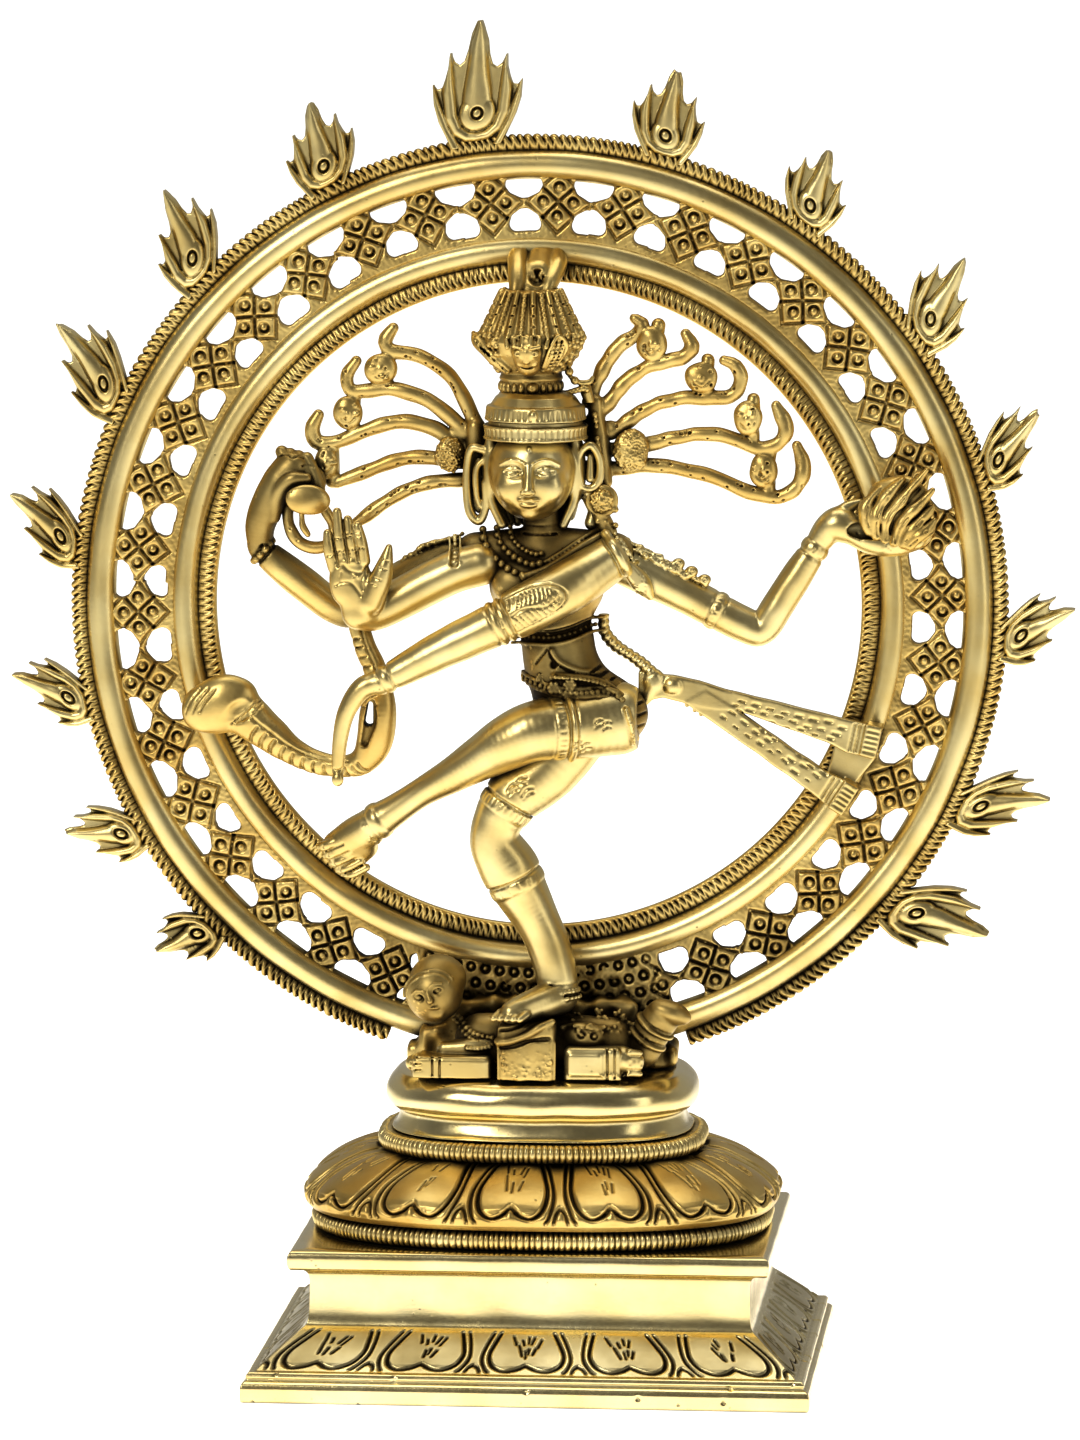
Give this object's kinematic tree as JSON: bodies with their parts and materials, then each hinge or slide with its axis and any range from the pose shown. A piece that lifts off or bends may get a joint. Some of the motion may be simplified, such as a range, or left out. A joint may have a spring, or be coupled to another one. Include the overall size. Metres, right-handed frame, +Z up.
{
  "type": "brass nataraja statue",
  "caption": "Cast brass dancing deity inside a pierced ring of flames, standing on a dwarf and a lotus pedestal with a stepped rectangular plinth.",
  "frame": {"origin": "centre of the plinth's underside, where the statue meets the shelf", "axes": "+Z up, the figure faces -Y, +X to the right as seen from the front"},
  "size_m": [0.2452, 0.104, 0.3092],
  "materials": {
    "polished_brass": "bright polished cast brass with fine file lines",
    "satin_brass": "satin hand-finished cast brass with brown patina in the recesses",
    "antique_brass": "textured cast brass with dark patina in the recesses and bright rubbed edges",
    "zinc_steel": "zinc plated hardware"
  },
  "bodies": {
    "root": {"base_plinth": "polished_brass", "pedestal_drum": "polished_brass", "outer_ring_tube": "satin_brass", "inner_ring_tube": "satin_brass", "torso": "satin_brass", "head": "satin_brass", "drum_arm": "satin_brass", "blessing_arm": "satin_brass", "crossing_arm": "satin_brass", "flame_arm": "satin_brass", "standing_leg": "satin_brass", "raised_leg": "satin_brass", "lotus_cushion": "satin_brass", "lotus_bead_moulding": "satin_brass", "drum_bead_moulding": "satin_brass", "dwarf_forearm": "satin_brass", "dwarf_leg": "satin_brass", "flame_01": "satin_brass", "flame_02": "satin_brass", "flame_03": "satin_brass", "flame_04": "satin_brass", "flame_05": "satin_brass", "flame_06": "satin_brass", "flame_07": "satin_brass", "flame_08": "satin_brass", "flame_09": "satin_brass", "flame_10": "satin_brass", "flame_11": "satin_brass", "flame_12": "satin_brass", "flame_13": "satin_brass", "flame_14": "satin_brass", "flame_15": "satin_brass", "ring_foot": "antique_brass", "ring_lattice": "antique_brass", "outer_rope_edge": "antique_brass", "inner_rope_edge": "antique_brass", "ring_top_boss": "antique_brass", "diadem": "antique_brass", "crown": "antique_brass", "necklace": "antique_brass", "disc_earring": "antique_brass", "waist_girdle": "antique_brass", "left_hair_fan": "antique_brass", "right_hair_fan": "antique_brass", "hand_drum": "antique_brass", "hand_flame": "antique_brass", "arm_cobra": "antique_brass", "waist_sash": "antique_brass", "dwarf_body": "antique_brass", "dwarf_head": "antique_brass", "dwarf_cloth": "antique_brass", "dwarf_raised_foot": "antique_brass", "tie_stud": "zinc_steel", "tie_washer": "zinc_steel", "tie_nut": "zinc_steel"}
  },
  "joints": []
}
